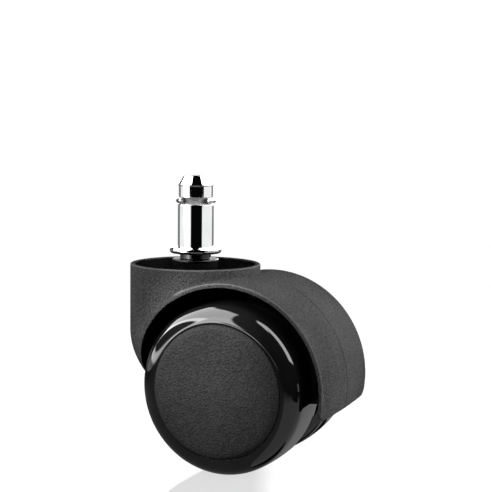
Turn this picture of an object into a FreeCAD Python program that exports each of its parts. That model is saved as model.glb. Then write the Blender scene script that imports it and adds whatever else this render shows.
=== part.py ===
import FreeCAD, Part
import math
import os
import Sketcher
from FreeCAD import Placement, Rotation, Vector

# Twin-wheel hooded chair caster with an 11 x 22 mm grip-ring stem and 50 mm wheels.
# Frame: origin on the stem's axis, on the flange's upper face, where the caster seats against
# the chair base. +Z runs up the stem, the wheels trail towards +X, and Y is the axle's direction.

os.makedirs("parts", exist_ok=True)
doc = FreeCAD.newDocument("caster")

# ---------------------------------------------------------------- driving sizes, mm
SIZES = [
    # stem
    ("shank_radius", 5.5), ("shank_top", 13.0), ("shank_corner", 0.15),
    ("groove_edge", 5.12), ("groove_arc", 1.12), ("groove_top", 15.35),
    ("head_radius", 5.25), ("lip_radius", 5.42), ("lip_low", 18.75), ("lip_high", 19.2),
    ("nose_radius", 3.85), ("tip_radius", 3.6), ("nose_top", 21.8), ("stem_top", 22.0),
    ("flange_radius", 7.9), ("flange_thick", 1.85), ("flange_round", 0.7),
    ("collar_radius", 4.75), ("collar_foot", -3.55),
    ("pintle_radius", 4.0), ("pintle_foot", -13.8), ("pintle_chamfer", 0.6),
    ("keep_radius", 3.2), ("keep_low", -12.3), ("keep_high", -11.5),
    # grip ring
    ("ring_middle", 5.23), ("ring_wire", 0.87), ("ring_height", 14.25),
    ("ring_gap", 90.5), ("ring_turn", -24.3),
    # retaining ring under the socket's shoulder
    ("keeper_outer", 4.7), ("keeper_inner", 3.25), ("keeper_low", -12.2), ("keeper_high", -11.55),
    ("keeper_gap", 60.0),
    # seat washer, socket and thrust pad
    ("washer_outer", 7.1), ("washer_inner", 4.35), ("washer_top", -3.6), ("boss_top", -4.3),
    ("socket_outer", 5.6), ("socket_bore", 4.05), ("socket_wide", 5.0),
    ("socket_step", -11.35), ("socket_foot", -14.6),
    ("pad_radius", 4.8), ("pad_top", -13.9), ("pad_dimple", 2.2), ("pad_dimple_deep", 0.25),
    # housing: round cup, nose, hood, web
    ("cup_radius", 20.0), ("cup_wall", 1.6), ("rim_height", -5.0), ("nose_start", -25.0),
    ("nose_arc", 21.4), ("nose_foot_radius", 12.81), ("nose_foot", -41.0),
    ("cavity_arc", 19.8), ("cavity_foot_radius", 12.18), ("cavity_foot", -39.4),
    ("boss_radius", 6.9), ("boss_foot", -15.9), ("rib_thick", 1.5), ("rib_top", -7.4),
    ("axle_x", 18.3), ("axle_z", -38.9),
    ("hood_radius", 31.4), ("hood_edge_radius", 30.85), ("hood_half", 20.0), ("hood_crown", 363.9),
    ("well_radius", 29.5), ("web_half", 4.0), ("hood_end_angle", 12.7), ("hood_corner", 2.8),
    ("web_low", -48.2), ("rim_round", 0.45), ("hood_round", 0.5),
    ("parting_deep", 0.14), ("parting_half", 0.11), ("parting_sweep", 130.0),
    # axle line, measured outwards from the middle of the web
    ("axle_radius", 4.0), ("axle_half", 21.2), ("axle_chamfer", 0.6),
    ("clip_groove", 3.3), ("clip_in", 19.7), ("clip_out", 20.3),
    ("bush_bore", 4.03), ("bush_outer", 5.2), ("bush_flange", 6.8), ("bush_start", 0.2),
    ("bush_shoulder", 4.0), ("bush_face", 4.7),
    ("spacer_bore", 4.15), ("spacer_outer", 6.8), ("spacer_in", 4.75), ("spacer_out", 5.25),
    ("clip_outer", 6.6), ("clip_inner", 3.35), ("clip_gap", 70.0),
    # wheel
    ("wheel_radius", 25.15), ("wheel_in", 5.2), ("inner_shoulder", 3.2), ("tread_crown", 95.4),
    ("tread_edge_radius", 24.97), ("tread_out", 20.07), ("shoulder_arc", 5.0), ("seam_radius", 19.7), ("seam_out", 24.49),
    ("tyre_bore", 21.6), ("tyre_lip_out", 22.6), ("seat_radius", 19.75),
    ("rim_bore", 19.4), ("rim_out", 22.5), ("hub_bore", 5.4), ("hub_outer", 7.8),
    ("hub_in", 5.45), ("hub_out", 19.5), ("disc_in", 11.6), ("disc_out", 13.6),
    ("spoke_thick", 1.4), ("spoke_in", 6.4), ("spoke_out", 18.8),
    ("hub_bush_bore", 4.05), ("hub_bush_in", 5.4), ("hub_bush_out", 19.4),
    # cap
    ("cap_radius", 19.55), ("cap_seam", 24.35), ("cap_band_arc", 2.1), ("cap_face_radius", 17.6),
    ("cap_face", 26.0), ("cap_wall", 1.5), ("cap_skirt_radius", 19.3), ("cap_skirt_in", 20.4),
    ("cap_skirt_bore", 17.9), ("cap_under", 24.4),
]

sheet = doc.addObject("Spreadsheet::Sheet", "dims")
for row, (alias, value) in enumerate(SIZES, 1):
    sheet.set("A%d" % row, alias)
    sheet.set("B%d" % row, str(value))
    sheet.setAlias("B%d" % row, alias)
doc.recompute()


class Size:
    """A length with its expression, so that each drawn point carries the formula that drives it."""

    def __init__(self, value, text):
        self.value, self.text = float(value), text

    @staticmethod
    def lift(x):
        return x if isinstance(x, Size) else Size(x, repr(float(x)))

    def __add__(self, o):
        o = Size.lift(o)
        return Size(self.value + o.value, "(%s + %s)" % (self.text, o.text))

    __radd__ = __add__

    def __sub__(self, o):
        o = Size.lift(o)
        return Size(self.value - o.value, "(%s - %s)" % (self.text, o.text))

    def __rsub__(self, o):
        return Size.lift(o) - self

    def __mul__(self, o):
        o = Size.lift(o)
        return Size(self.value * o.value, "(%s * %s)" % (self.text, o.text))

    __rmul__ = __mul__

    def __neg__(self):
        return Size(-self.value, "(0 - %s)" % self.text)


S = {alias: Size(value, "dims." + alias) for alias, value in SIZES}
V = dict(SIZES)


# ---------------------------------------------------------------- drawing helpers
def plane_of(body, role):
    return next(f for f in body.Origin.OriginFeatures if f.Role == role)


def new_body(name):
    body = doc.addObject("PartDesign::Body", name)
    body.Label = name
    return body


def sketch_on(body, name, role="XZ_Plane", offset=None):
    sk = body.newObject("Sketcher::SketchObject", name)
    sk.AttachmentSupport = [(plane_of(body, role), "")]
    sk.MapMode = "FlatFace"
    if offset is not None:
        offset = Size.lift(offset)
        sk.AttachmentOffset = Placement(Vector(0, 0, offset.value), Rotation())
        sk.setExpression("AttachmentOffset.Base.z", offset.text)
    return sk


def fix(sk, geo, pos, x, y):
    """Hold one point at (x, y) from the sketch's origin."""
    for kind, size, axis in (("DistanceX", Size.lift(x), -2), ("DistanceY", Size.lift(y), -1)):
        if size.value == 0 and size.text == repr(0.0):
            sk.addConstraint(Sketcher.Constraint("PointOnObject", geo, pos, axis))
        else:
            i = sk.addConstraint(Sketcher.Constraint(kind, -1, 1, geo, pos, size.value))
            sk.setExpression("Constraints[%d]" % i, size.text)


def arc_centre(p, q, r, turn):
    """Centre of an arc of radius r from p to q: turn is +1 anticlockwise, -1 clockwise."""
    mx, my = (p[0] + q[0]) / 2, (p[1] + q[1]) / 2
    dx, dy = q[0] - p[0], q[1] - p[1]
    d = math.hypot(dx, dy)
    k = math.sqrt(max(r * r - d * d / 4, 0)) / d
    return mx - dy * k * turn, my + dx * k * turn


def outline(sk, points):
    """A closed outline. Each entry is (x, y) or (x, y, radius, turn): the last two bend the run to the next point."""
    n = len(points)
    pts = [(Size.lift(p[0]), Size.lift(p[1])) for p in points]
    ids, ends = [], []
    for i, p in enumerate(points):
        a = (pts[i][0].value, pts[i][1].value)
        b = (pts[(i + 1) % n][0].value, pts[(i + 1) % n][1].value)
        if len(p) > 2:
            r, turn = Size.lift(p[2]), p[3]
            cx, cy = arc_centre(a, b, r.value, turn)
            t0 = math.atan2(a[1] - cy, a[0] - cx)
            t1 = math.atan2(b[1] - cy, b[0] - cx)
            if turn < 0:
                t0, t1 = t1, t0
            if t1 < t0:
                t1 += 2 * math.pi
            g = sk.addGeometry(Part.ArcOfCircle(Part.Circle(Vector(cx, cy, 0), Vector(0, 0, 1), r.value), t0, t1), False)
            ends.append((1, 2) if turn > 0 else (2, 1))
            ids.append(g)
            c = sk.addConstraint(Sketcher.Constraint("Radius", g, r.value))
            sk.setExpression("Constraints[%d]" % c, r.text)
        else:
            g = sk.addGeometry(Part.LineSegment(Vector(a[0], a[1], 0), Vector(b[0], b[1], 0)), False)
            ends.append((1, 2))
            ids.append(g)
    for i in range(n):
        j = (i + 1) % n
        sk.addConstraint(Sketcher.Constraint("Coincident", ids[i], ends[i][1], ids[j], ends[j][0]))
    for i in range(n):
        fix(sk, ids[i], ends[i][0], pts[i][0], pts[i][1])
    return ids


def turn_about(body, name, points, angle=360.0, cut=False, middle=False, role="XZ_Plane", axis="V_Axis"):
    sk = sketch_on(body, name + "_outline", role)
    outline(sk, points)
    kind = "PartDesign::Groove" if cut else "PartDesign::Revolution"
    f = body.newObject(kind, name)
    f.Profile = sk
    f.ReferenceAxis = (sk, [axis])
    f.Midplane = middle
    angle = Size.lift(angle)
    f.Angle = angle.value
    f.setExpression("Angle", angle.text)
    body.Tip = f
    return f


def pad(body, name, sk, length, symmetric=False, reverse=False, cut=False):
    f = body.newObject("PartDesign::Pocket" if cut else "PartDesign::Pad", name)
    f.Profile = sk
    f.Type = "Length"
    length = Size.lift(length)
    f.Length = length.value
    f.setExpression("Length", length.text)
    f.SideType = "Symmetric" if symmetric else "One side"
    f.Reversed = reverse
    body.Tip = f
    return f


def around(body, name, feature, sk, count):
    f = body.newObject("PartDesign::PolarPattern", name)
    f.Originals = [feature]
    f.Axis = (sk, ["N_Axis"])
    f.Angle = 360
    f.Occurrences = count
    body.Tip = f
    return f


def soften(body, name, size, wanted, kind="PartDesign::Fillet"):
    """Round or bevel the edges of the tip that wanted picks out by their middle point."""
    doc.recompute()
    base = body.Tip
    names = []
    for i, e in enumerate(base.Shape.Edges, 1):
        m = e.valueAt((e.FirstParameter + e.LastParameter) / 2)
        if wanted(e, m):
            names.append("Edge%d" % i)
    if not names:
        raise RuntimeError("%s: no edge found for %s" % (body.Label, name))
    f = body.newObject(kind, name)
    f.Base = (base, names)
    prop = "Radius" if kind.endswith("Fillet") else "Size"
    size = Size.lift(size)
    setattr(f, prop, size.value)
    f.setExpression(prop, size.text)
    body.Tip = f
    return f


def level(e, z, tol=1e-3):
    b = e.BoundBox
    return abs(b.ZMin - z) < tol and abs(b.ZMax - z) < tol


def radius_at(m):
    return math.hypot(m.x, m.y)


def stand(body, side=0, turn=None):
    """Put a piece drawn about local Z on the axle line: side +1 faces +Y, -1 faces -Y."""
    rot = Rotation(Vector(1, 0, 0), -90.0 * side)
    if turn is not None:
        rot = rot.multiply(Rotation(Vector(0, 0, 1), turn))
    body.Placement = Placement(Vector(V["axle_x"], 0, V["axle_z"]), rot)
    body.setExpression("Placement.Base.x", "dims.axle_x")
    body.setExpression("Placement.Base.z", "dims.axle_z")


bodies = []

# ---------------------------------------------------------------- stem: one turned and plated steel pin
# Head, grip-ring groove, shank, seat flange, collar, and the pintle that turns in the housing.
b = new_body("stem")
turn_about(b, "stem_turned", [
    (0, S["pintle_foot"]),
    (S["pintle_radius"] - S["pintle_chamfer"], S["pintle_foot"]),
    (S["pintle_radius"], S["pintle_foot"] + S["pintle_chamfer"]),
    (S["pintle_radius"], S["keep_low"]),
    (S["keep_radius"], S["keep_low"]),
    (S["keep_radius"], S["keep_high"]),
    (S["pintle_radius"], S["keep_high"]),
    (S["pintle_radius"], S["collar_foot"]),
    (S["collar_radius"], S["collar_foot"]),
    (S["collar_radius"], -S["flange_thick"]),
    (S["flange_radius"], -S["flange_thick"]),
    (S["flange_radius"], 0),
    (S["shank_radius"], 0),
    (S["shank_radius"], S["shank_top"]),
    (S["shank_radius"] - S["shank_corner"], S["shank_top"] + S["shank_corner"]),
    (S["groove_edge"], S["shank_top"] + S["shank_corner"], S["groove_arc"], -1),
    (S["groove_edge"], S["groove_top"]),
    (S["head_radius"], S["groove_top"]),
    (S["head_radius"], S["lip_low"]),
    (S["lip_radius"], S["lip_low"] + 0.2),
    (S["lip_radius"], S["lip_high"]),
    (S["nose_radius"], S["nose_top"]),
    (S["tip_radius"], S["stem_top"]),
    (0, S["stem_top"]),
])
soften(b, "flange_edges", S["flange_round"],
       lambda e, m: abs(radius_at(m) - V["flange_radius"]) < 1e-3 and (level(e, 0) or level(e, -V["flange_thick"])))
bodies.append(b)

# ---------------------------------------------------------------- grip ring: open ring of round spring wire in the stem's groove
b = new_body("grip_ring")
mid_r, wire, high = S["ring_middle"], S["ring_wire"], S["ring_height"]
turn_about(b, "ring_wire_turned", [
    (mid_r, high - wire, wire, 1), (mid_r + wire, high, wire, 1),
    (mid_r, high + wire, wire, 1), (mid_r - wire, high, wire, 1),
], angle=360.0 - S["ring_gap"])
b.Placement = Placement(Vector(0, 0, 0), Rotation(Vector(0, 0, 1), V["ring_turn"]))
bodies.append(b)

# ---------------------------------------------------------------- stem keeper: split ring that stops the stem pulling out
b = new_body("stem_keeper_ring")
turn_about(b, "keeper_band", [
    (S["keeper_inner"], S["keeper_low"]), (S["keeper_outer"], S["keeper_low"]),
    (S["keeper_outer"], S["keeper_high"]), (S["keeper_inner"], S["keeper_high"]),
], angle=360.0 - S["keeper_gap"])
b.Placement = Placement(Vector(0, 0, 0), Rotation(Vector(0, 0, 1), 120))
bodies.append(b)

# ---------------------------------------------------------------- seat washer between the stem's collar and the housing's boss
b = new_body("seat_washer")
turn_about(b, "washer_turned", [
    (S["washer_inner"], S["boss_top"]), (S["washer_outer"], S["boss_top"]),
    (S["washer_outer"], S["washer_top"]), (S["washer_inner"], S["washer_top"]),
])
soften(b, "washer_edges", 0.2, lambda e, m: abs(radius_at(m) - V["washer_outer"]) < 1e-3 and e.Length > 5)
bodies.append(b)

# ---------------------------------------------------------------- stem socket: steel sleeve pressed in the boss, wider below its shoulder
b = new_body("stem_socket")
turn_about(b, "socket_turned", [
    (S["socket_bore"], S["boss_top"]), (S["socket_outer"], S["boss_top"]),
    (S["socket_outer"], S["socket_foot"]), (S["socket_wide"], S["socket_foot"]),
    (S["socket_wide"], S["socket_step"]), (S["socket_bore"], S["socket_step"]),
])
bodies.append(b)

# ---------------------------------------------------------------- thrust pad: plastic disc under the pintle, dished in the middle
b = new_body("thrust_pad")
turn_about(b, "pad_turned", [
    (0, S["socket_foot"]), (S["pad_radius"], S["socket_foot"]), (S["pad_radius"], S["pad_top"]),
    (S["pad_dimple"], S["pad_top"]), (0, S["pad_top"] - S["pad_dimple_deep"]),
])
bodies.append(b)

# ---------------------------------------------------------------- housing: one moulding with the cup, boss, ribs, hood and web
b = new_body("housing")
ax, az = S["axle_x"], S["axle_z"]
# cup and rounded nose, solid, with the boss standing just above the rim
turn_about(b, "cup_outside", [
    (0, S["boss_top"]), (S["boss_radius"], S["boss_top"]), (S["boss_radius"], S["rim_height"]),
    (S["cup_radius"], S["rim_height"]), (S["cup_radius"], S["nose_start"], S["nose_arc"], -1),
    (S["nose_foot_radius"], S["nose_foot"]), (0, S["nose_foot"]),
])
# hollow of the cup round the boss
turn_about(b, "cup_hollow", [
    (S["boss_radius"], S["rim_height"] + 2), (S["cup_radius"] - S["cup_wall"], S["rim_height"] + 2),
    (S["cup_radius"] - S["cup_wall"], S["nose_start"], S["cavity_arc"], -1),
    (S["cavity_foot_radius"], S["cavity_foot"]), (S["boss_radius"], S["cavity_foot"]),
], cut=True)
# six ribs from the boss to the cup's wall
sk = sketch_on(b, "rib_outline", "XY_Plane", S["rib_top"])
half = S["rib_thick"] * 0.5
reach = S["cup_radius"] - S["cup_wall"] * 0.5
outline(sk, [(S["boss_radius"] - 1, -half), (reach, -half), (reach, half), (S["boss_radius"] - 1, half)])
rib = pad(b, "rib", sk, S["nose_start"] * -1.0 + S["rib_top"] + 8.0, reverse=True)
around(b, "ribs", rib, sk, 6)
# the hood as a full crowned drum about the axle
sk = sketch_on(b, "hood_outline", "XY_Plane", S["axle_z"])
ids = outline(sk, [
    (ax, -S["hood_half"]), (ax + S["hood_edge_radius"], -S["hood_half"], S["hood_crown"], 1),
    (ax + S["hood_edge_radius"], S["hood_half"]), (ax, S["hood_half"]),
])
f = b.newObject("PartDesign::Revolution", "hood_drum")
f.Profile = sk
f.ReferenceAxis = (sk, ["Edge4"])
f.Angle = 360
b.Tip = f
# ahead of the stem's axis nothing stands outside the cup and nose
turn_about(b, "nose_trim", [
    (-S["cup_radius"], 1), (-S["cup_radius"], S["nose_start"], S["nose_arc"], 1),
    (-S["nose_foot_radius"], S["nose_foot"]), (-S["nose_foot_radius"], S["nose_foot"] - 40),
    (-S["cup_radius"] - 45, S["nose_foot"] - 40), (-S["cup_radius"] - 45, 1),
], angle=180.0, cut=True, middle=True)
# underside: nose foot, web and the hood's rear end
end = math.radians(V["hood_end_angle"])
cos_end = Size(math.cos(end), "cos(dims.hood_end_angle * 1 deg)")
sin_end = Size(math.sin(end), "sin(dims.hood_end_angle * 1 deg)")
sk = sketch_on(b, "underside_outline", "XZ_Plane")
outline(sk, [
    (-60, S["nose_foot"]), (-11.2, S["nose_foot"]), (ax - 9.5, S["web_low"]), (ax + 9.5, S["web_low"]),
    (ax + S["well_radius"] * cos_end, az - S["well_radius"] * sin_end),
    (ax + cos_end * 60.0, az - sin_end * 60.0), (ax + cos_end * 60.0, -90), (-60, -90),
])
pad(b, "underside", sk, 120, symmetric=True, cut=True)
# wheel wells on both sides of the web
sk = sketch_on(b, "well_outline", "XY_Plane", S["axle_z"])
for side in (1, -1):
    outline(sk, [
        (ax, S["web_half"] * side), (ax + S["well_radius"], S["web_half"] * side),
        (ax + S["well_radius"], 45.0 * side), (ax, 45.0 * side),
    ])
axis_line = sk.addGeometry(Part.LineSegment(Vector(V["axle_x"], -50, 0), Vector(V["axle_x"], 50, 0)), True)
fix(sk, axis_line, 1, ax, -50)
fix(sk, axis_line, 2, ax, 50)
f = b.newObject("PartDesign::Groove", "wheel_wells")
f.Profile = sk
f.ReferenceAxis = (sk, ["Axis0"])
f.Angle = 360
b.Tip = f
# boss carried down between the wheels round the socket
turn_about(b, "boss_foot_turned", [
    (0, -10), (S["boss_radius"], -10), (S["boss_radius"], S["boss_foot"] + 1.2),
    (S["boss_radius"] - 1.2, S["boss_foot"]), (0, S["boss_foot"]),
])
# blind bore for the socket
turn_about(b, "socket_bore_cut", [
    (0, S["boss_top"] + 1), (S["socket_outer"], S["boss_top"] + 1),
    (S["socket_outer"], S["socket_foot"]), (0, S["socket_foot"]),
], cut=True)
# axle bore through the web
sk = sketch_on(b, "axle_bore_outline", "XZ_Plane")
c = sk.addGeometry(Part.Circle(Vector(V["axle_x"], V["axle_z"], 0), Vector(0, 0, 1), V["bush_outer"]), False)
fix(sk, c, 3, ax, az)
i = sk.addConstraint(Sketcher.Constraint("Radius", c, V["bush_outer"]))
sk.setExpression("Constraints[%d]" % i, "dims.bush_outer")
pad(b, "axle_bore", sk, 20, symmetric=True, cut=True)
# fine parting line down the middle of the hood's rear
sk = sketch_on(b, "parting_outline", "XY_Plane", S["axle_z"])
outline(sk, [
    (ax + S["hood_radius"] - S["parting_deep"], -S["parting_half"]), (ax + S["hood_radius"] + 1, -S["parting_half"]),
    (ax + S["hood_radius"] + 1, S["parting_half"]), (ax + S["hood_radius"] - S["parting_deep"], S["parting_half"]),
])
axis_line = sk.addGeometry(Part.LineSegment(Vector(V["axle_x"], -50, 0), Vector(V["axle_x"], 50, 0)), True)
fix(sk, axis_line, 1, ax, -50)
fix(sk, axis_line, 2, ax, 50)
f = b.newObject("PartDesign::Groove", "parting_line")
f.Profile = sk
f.ReferenceAxis = (sk, ["Axis0"])
f.Midplane = True
f.Angle = V["parting_sweep"]
f.setExpression("Angle", "dims.parting_sweep")
b.Tip = f
bodies.append(b)
housing = b

# ---------------------------------------------------------------- axle: steel rod with a clip groove near each end
b = new_body("axle")
half_axle = [
    (S["axle_radius"], S["clip_in"]), (S["clip_groove"], S["clip_in"]), (S["clip_groove"], S["clip_out"]),
    (S["axle_radius"], S["clip_out"]), (S["axle_radius"], S["axle_half"] - S["axle_chamfer"]),
    (S["axle_radius"] - S["axle_chamfer"], S["axle_half"]), (0, S["axle_half"]),
]
lower = [(x, -Size.lift(y)) for x, y in reversed(half_axle)]
turn_about(b, "axle_turned", lower + half_axle)
stand(b, 1)
bodies.append(b)

# ---------------------------------------------------------------- pieces that come in a left and a right copy
# Left is the side towards -Y, seen by someone who faces the way the caster leads, towards -X.
for word, side in (("left", -1), ("right", 1)):
    # flanged bush pressed in the web, round the axle
    b = new_body("axle_bush_" + word)
    turn_about(b, "bush_turned_" + word, [
        (S["bush_bore"], S["bush_start"]), (S["bush_outer"], S["bush_start"]),
        (S["bush_outer"], S["bush_shoulder"]), (S["bush_flange"], S["bush_shoulder"]),
        (S["bush_flange"], S["bush_face"]), (S["bush_bore"], S["bush_face"]),
    ])
    stand(b, side)
    bodies.append(b)

    # spacer washer between the bush and the wheel's hub
    b = new_body("wheel_spacer_" + word)
    turn_about(b, "spacer_turned_" + word, [
        (S["spacer_bore"], S["spacer_in"]), (S["spacer_outer"], S["spacer_in"]),
        (S["spacer_outer"], S["spacer_out"]), (S["spacer_bore"], S["spacer_out"]),
    ])
    stand(b, side)
    bodies.append(b)

    # split retaining clip in the axle's end groove
    b = new_body("axle_clip_" + word)
    turn_about(b, "clip_turned_" + word, [
        (S["clip_inner"], S["clip_in"] + 0.05), (S["clip_outer"], S["clip_in"] + 0.05),
        (S["clip_outer"], S["clip_out"] - 0.05), (S["clip_inner"], S["clip_out"] - 0.05),
    ], angle=360.0 - S["clip_gap"])
    stand(b, side, 125)
    bodies.append(b)

    # wheel core: hub, disc, six spokes on each face and the rim that carries the tyre
    b = new_body("wheel_core_" + word)
    turn_about(b, "core_turned_" + word, [
        (S["hub_bore"], S["hub_in"]), (S["hub_outer"], S["hub_in"]), (S["hub_outer"], S["disc_in"]),
        (S["rim_bore"], S["disc_in"]), (S["rim_bore"], S["wheel_in"]), (S["tyre_bore"], S["wheel_in"]),
        (S["tyre_bore"], S["rim_out"]), (S["rim_bore"], S["rim_out"]), (S["rim_bore"], S["disc_out"]),
        (S["hub_outer"], S["disc_out"]), (S["hub_outer"], S["hub_out"]), (S["hub_bore"], S["hub_out"]),
    ])
    half = S["spoke_thick"] * 0.5
    sk = sketch_on(b, "spoke_outline_" + word, "XY_Plane", S["spoke_in"])
    outline(sk, [(S["hub_outer"] - 0.6, -half), (S["rim_bore"] + 0.6, -half),
                 (S["rim_bore"] + 0.6, half), (S["hub_outer"] - 0.6, half)])
    spoke = pad(b, "spoke_" + word, sk, S["spoke_out"] - S["spoke_in"])
    around(b, "spokes_" + word, spoke, sk, 8)
    stand(b, side)
    bodies.append(b)

    # bearing bush pressed in the hub, running on the axle
    b = new_body("hub_bush_" + word)
    turn_about(b, "hub_bush_turned_" + word, [
        (S["hub_bush_bore"], S["hub_bush_in"]), (S["hub_bore"], S["hub_bush_in"]),
        (S["hub_bore"], S["hub_bush_out"]), (S["hub_bush_bore"], S["hub_bush_out"]),
    ])
    stand(b, side)
    bodies.append(b)

    # tyre: tread with a large rounded shoulder that turns in to the cap's seam
    b = new_body("tyre_" + word)
    turn_about(b, "tyre_turned_" + word, [
        (S["tyre_bore"], S["wheel_in"]), (S["wheel_radius"] - S["inner_shoulder"], S["wheel_in"], S["inner_shoulder"], 1),
        (S["wheel_radius"], S["wheel_in"] + S["inner_shoulder"], S["tread_crown"], 1),
        (S["tread_edge_radius"], S["tread_out"], S["shoulder_arc"], 1),
        (S["seam_radius"], S["seam_out"]), (S["seam_radius"], S["rim_out"]), (S["tyre_bore"], S["rim_out"]),
    ])
    stand(b, side)
    bodies.append(b)

    # cap: flat cover with a rounded band, and a skirt that snaps in the core's rim
    b = new_body("wheel_cap_" + word)
    turn_about(b, "cap_turned_" + word, [
        (0, S["cap_under"]), (S["cap_skirt_bore"], S["cap_under"]), (S["cap_skirt_bore"], S["cap_skirt_in"]),
        (S["cap_skirt_radius"], S["cap_skirt_in"]), (S["cap_skirt_radius"], S["rim_out"] + 0.3),
        (S["cap_radius"], S["rim_out"] + 0.3), (S["cap_radius"], S["cap_seam"], S["cap_band_arc"], 1),
        (S["cap_face_radius"], S["cap_face"]), (0, S["cap_face"]),
    ])
    stand(b, side)
    bodies.append(b)

doc.recompute()

# ---------------------------------------------------------------- softened edges of the housing
def try_soften(body, name, size, wanted):
    """A rounding that the kernel can't build is taken off again, so that the sharp edge stays."""
    before = body.Tip
    volume = before.Shape.Volume
    f = soften(body, name, size, wanted)
    doc.recompute()
    bad = "Invalid" in f.State or f.Shape.isNull() or not f.Shape.isValid() or abs(f.Shape.Volume - volume) > 0.02 * volume
    print("rounding", name, "left off" if bad else "made", len(f.Base[1]), "edges")
    if bad:
        doc.removeObject(f.Name)
        body.Tip = before
        doc.recompute()


try_soften(housing, "rim_edges", S["rim_round"],
           lambda e, m: level(e, V["rim_height"]) and radius_at(m) > V["cup_radius"] - V["cup_wall"] - 0.01)


def from_axle(m):
    """Radius and angle below the horizontal, about the axle line."""
    x, z = m.x - V["axle_x"], m.z - V["axle_z"]
    return math.hypot(x, z), math.degrees(math.atan2(-z, x))


try_soften(housing, "hood_corners", S["hood_corner"],
           lambda e, m: abs(abs(m.y) - V["hood_half"]) < 0.01 and 0.5 < e.Length < 2.5
           and abs(from_axle(m)[1] - V["hood_end_angle"]) < 1.5)
try_soften(housing, "hood_edges", S["hood_round"],
           lambda e, m: abs(abs(m.y) - V["hood_half"]) < 0.01 and e.Length > 15
           and abs(from_axle(m)[0] - V["hood_edge_radius"]) < 0.02)

# ---------------------------------------------------------------- check every object, then write the pieces
for o in doc.Objects:
    if "Invalid" in o.State or "Error" in o.State:
        raise RuntimeError("object %s failed: %s" % (o.Label, o.State))
for b in bodies:
    s = b.Shape
    if s.isNull() or not s.isValid() or len(s.Solids) != 1:
        raise RuntimeError("piece %s is not one valid solid (%d)" % (b.Label, len(s.Solids)))
for b in bodies:
    b.Shape.exportStep("parts/" + b.Label + ".step")
    bb = b.Shape.BoundBox
    print("%-18s %9.1f mm3  x %6.2f %6.2f  y %6.2f %6.2f  z %6.2f %6.2f" % (
        b.Label, b.Shape.Volume, bb.XMin, bb.XMax, bb.YMin, bb.YMax, bb.ZMin, bb.ZMax))
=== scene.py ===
"""Looks of the twin-wheel chair caster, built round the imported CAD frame.
Drawn in millimetres in the frame's own axes, and scaled to metres as each mesh is made."""
import math

import bmesh
import bpy
import numpy as np
from mathutils import Matrix, Vector


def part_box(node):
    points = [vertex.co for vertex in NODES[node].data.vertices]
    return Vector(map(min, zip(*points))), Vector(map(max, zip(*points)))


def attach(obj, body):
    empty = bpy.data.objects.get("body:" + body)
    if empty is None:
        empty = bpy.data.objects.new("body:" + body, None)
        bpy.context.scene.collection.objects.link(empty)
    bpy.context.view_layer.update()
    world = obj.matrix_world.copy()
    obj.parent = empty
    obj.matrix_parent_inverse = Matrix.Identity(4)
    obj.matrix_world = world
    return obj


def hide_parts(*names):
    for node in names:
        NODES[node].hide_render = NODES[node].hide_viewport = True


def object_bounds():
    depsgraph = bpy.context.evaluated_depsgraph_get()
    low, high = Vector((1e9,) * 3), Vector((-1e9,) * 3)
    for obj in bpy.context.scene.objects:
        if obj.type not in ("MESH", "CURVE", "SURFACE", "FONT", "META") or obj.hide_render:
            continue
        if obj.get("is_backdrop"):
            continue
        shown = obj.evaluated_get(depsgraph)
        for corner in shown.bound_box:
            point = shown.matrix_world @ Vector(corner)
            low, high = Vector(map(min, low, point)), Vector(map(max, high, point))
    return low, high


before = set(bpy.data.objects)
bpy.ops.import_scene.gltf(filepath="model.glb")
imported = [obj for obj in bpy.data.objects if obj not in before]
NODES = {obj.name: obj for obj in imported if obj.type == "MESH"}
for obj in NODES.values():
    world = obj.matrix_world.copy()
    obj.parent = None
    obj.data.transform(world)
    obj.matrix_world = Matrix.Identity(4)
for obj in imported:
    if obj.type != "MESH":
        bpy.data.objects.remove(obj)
cad_low, cad_high = (list(v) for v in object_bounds())
MM = 0.001

# ------------------------------------------------------------------ sizes, mm, as in the CAD
AX, AZ = 18.3, -38.9                      # axle line
CUP_R, CUP_WALL, RIM = 20.0, 1.6, -5.0
NOSE_Z, NOSE_ARC, NOSE_FOOT = -25.0, 21.4, -41.0
BOSS_R, BOSS_TOP, BOSS_FOOT = 6.9, -4.3, -15.9
RIB_T, RIB_TOP = 1.5, -7.4
HOOD_R, HOOD_EDGE_R, HOOD_HALF = 31.4, 30.85, 20.0
WELL_R, WEB_HALF, END_DEG, WEB_LOW, CORNER = 29.5, 4.0, 12.7, -48.2, 2.8
SOCKET_R, SOCKET_FOOT, BUSH_R = 5.6, -14.6, 5.2


# ------------------------------------------------------------------ mesh helpers
def mesh_object(name, verts, faces, smooth=True, normals=None):
    me = bpy.data.meshes.new(name)
    me.from_pydata([tuple(v) for v in verts], [], [tuple(f) for f in faces])
    me.validate()
    me.update()
    if smooth:
        me.polygons.foreach_set("use_smooth", [True] * len(me.polygons))
    if normals is not None:
        me.normals_split_custom_set_from_vertices([tuple(n) for n in normals])
    o = bpy.data.objects.new(name, me)
    bpy.context.scene.collection.objects.link(o)
    return o


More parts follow.
